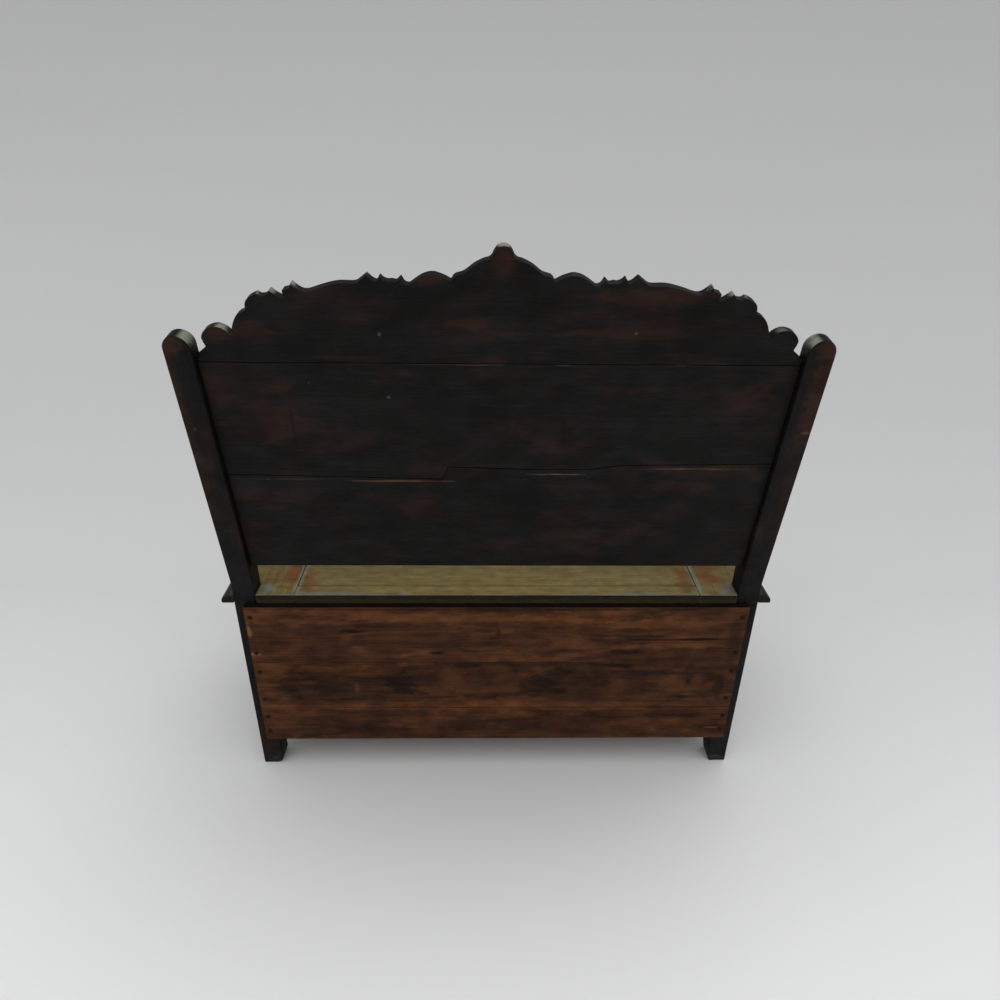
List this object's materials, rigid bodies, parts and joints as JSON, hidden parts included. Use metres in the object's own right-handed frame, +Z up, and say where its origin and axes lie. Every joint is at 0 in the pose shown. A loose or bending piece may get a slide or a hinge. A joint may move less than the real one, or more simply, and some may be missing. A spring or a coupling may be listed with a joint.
{
  "type": "settle bench",
  "caption": "Box settle with a lift-up seat lid, arms, panelled front and sides, and a raked board back under a carved, scrolled crest.",
  "frame": {"origin": "centre of the overall box, on the floor under the legs", "axes": "+Z up, -Y towards the sitter's front, +X to the right seen from the front"},
  "size_m": [1.063, 0.5514, 1.1018],
  "materials": {
    "dark_oak": "near-black stain over oak, worn to reddish brown on edges, low satin sheen",
    "stained_pine": "thin reddish-brown stain over pine, dry and matt, with darker clouds and knots",
    "waxed_seat": "waxed and polished by use, satin to glossy",
    "old_iron": "old forged iron, dull and slightly rusted"
  },
  "bodies": {
    "bench_frame": {"rear_post_right": "dark_oak", "rear_post_left": "dark_oak", "front_leg_right": "dark_oak", "front_leg_left": "dark_oak", "back_board_lower": "dark_oak", "back_board_upper": "dark_oak", "crest_board": "dark_oak", "seat_side_right": "waxed_seat", "seat_side_left": "waxed_seat", "seat_rear_strip": "waxed_seat", "lid_pin_right": "old_iron", "lid_pin_left": "old_iron", "arm_right": "dark_oak", "arm_left": "dark_oak", "arm_support_right": "dark_oak", "arm_support_left": "dark_oak", "front_rail_top": "dark_oak", "front_rail_bottom": "dark_oak", "front_muntin": "dark_oak", "front_panel_right": "dark_oak", "front_panel_left": "dark_oak", "side_rail_top_right": "dark_oak", "side_rail_top_left": "dark_oak", "side_rail_bottom_right": "dark_oak", "side_rail_bottom_left": "dark_oak", "side_panel_right": "dark_oak", "side_panel_left": "dark_oak", "rear_rail_top": "stained_pine", "rear_rail_bottom": "stained_pine", "rear_board_lower": "stained_pine", "rear_board_middle": "stained_pine", "rear_board_upper": "stained_pine", "rear_nail_1_right": "old_iron", "rear_nail_1_left": "old_iron", "rear_nail_2_right": "old_iron", "rear_nail_2_left": "old_iron", "rear_nail_3_right": "old_iron", "rear_nail_3_left": "old_iron", "rear_nail_4_right": "old_iron", "rear_nail_4_left": "old_iron", "rear_nail_5_right": "old_iron", "rear_nail_5_left": "old_iron", "rear_nail_6_right": "old_iron", "rear_nail_6_left": "old_iron", "floor_bearer_right": "stained_pine", "floor_bearer_left": "stained_pine", "floor_bearer_middle": "stained_pine", "floor_board_1": "stained_pine", "floor_board_2": "stained_pine", "floor_board_3": "stained_pine"},
    "lid": {"seat_lid": "waxed_seat", "lid_batten_right": "stained_pine", "lid_batten_left": "stained_pine", "batten_screw_1": "old_iron", "batten_screw_2": "old_iron", "batten_screw_3": "old_iron", "batten_screw_4": "old_iron"}
  },
  "joints": [
    {"name": "lid_hinge", "type": "hinge", "parent": "bench_frame", "child": "lid", "pos_m": [0, 0.13809, 0.4355], "axis": [-1, 0, 0], "range_deg": [0, 96]}
  ]
}
